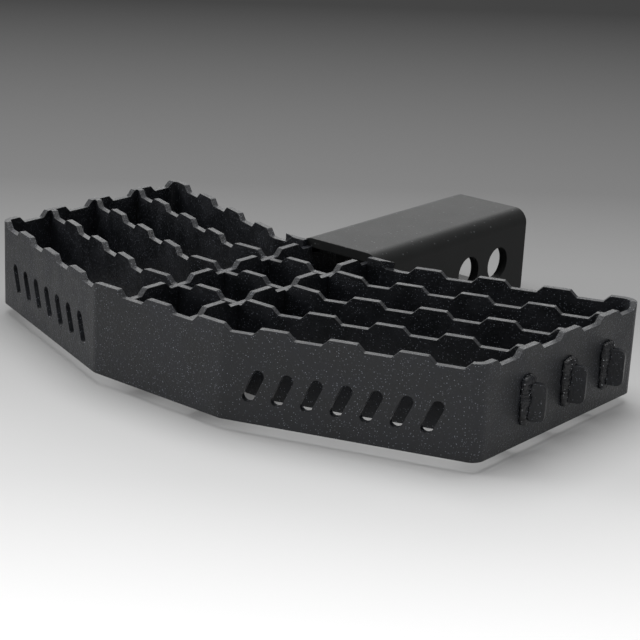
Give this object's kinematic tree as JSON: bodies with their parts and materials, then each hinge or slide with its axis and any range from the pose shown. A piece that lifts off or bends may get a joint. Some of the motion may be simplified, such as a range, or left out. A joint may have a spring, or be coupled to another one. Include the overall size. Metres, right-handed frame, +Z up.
{
  "type": "hitch step",
  "caption": "Bow-shaped hitch step: a grid of serrated steel plates on a square shank that slides into a receiver and takes a hitch pin.",
  "frame": {"origin": "centre of the bounding box in plan, at the level of the underside of the square shank", "axes": "+X along the step to the right as seen from the front plate, +Y from the front plate towards the open end of the shank, +Z up, with the teeth on top"},
  "size_m": [0.319, 0.2626, 0.0508],
  "materials": {
    "plate_coat": "black textured powder coat with fine bright flecks",
    "tube_coat": "black satin powder coat",
    "weld_bead": "powder-coated weld, rippled and glossy"
  },
  "bodies": {
    "root": {"outer_band": "plate_coat", "slat_front": "plate_coat", "slat_middle": "plate_coat", "slat_rear": "plate_coat", "cross_slat_left": "plate_coat", "cross_slat_right": "plate_coat", "receiver_tube": "tube_coat", "tab_weld_left_front": "weld_bead", "tab_weld_left_middle": "weld_bead", "tab_weld_left_rear": "weld_bead", "tab_weld_right_front": "weld_bead", "tab_weld_right_middle": "weld_bead", "tab_weld_right_rear": "weld_bead", "tube_weld_left": "weld_bead", "tube_weld_right": "weld_bead", "front_weld_left": "weld_bead", "front_weld_right": "weld_bead"}
  },
  "joints": []
}
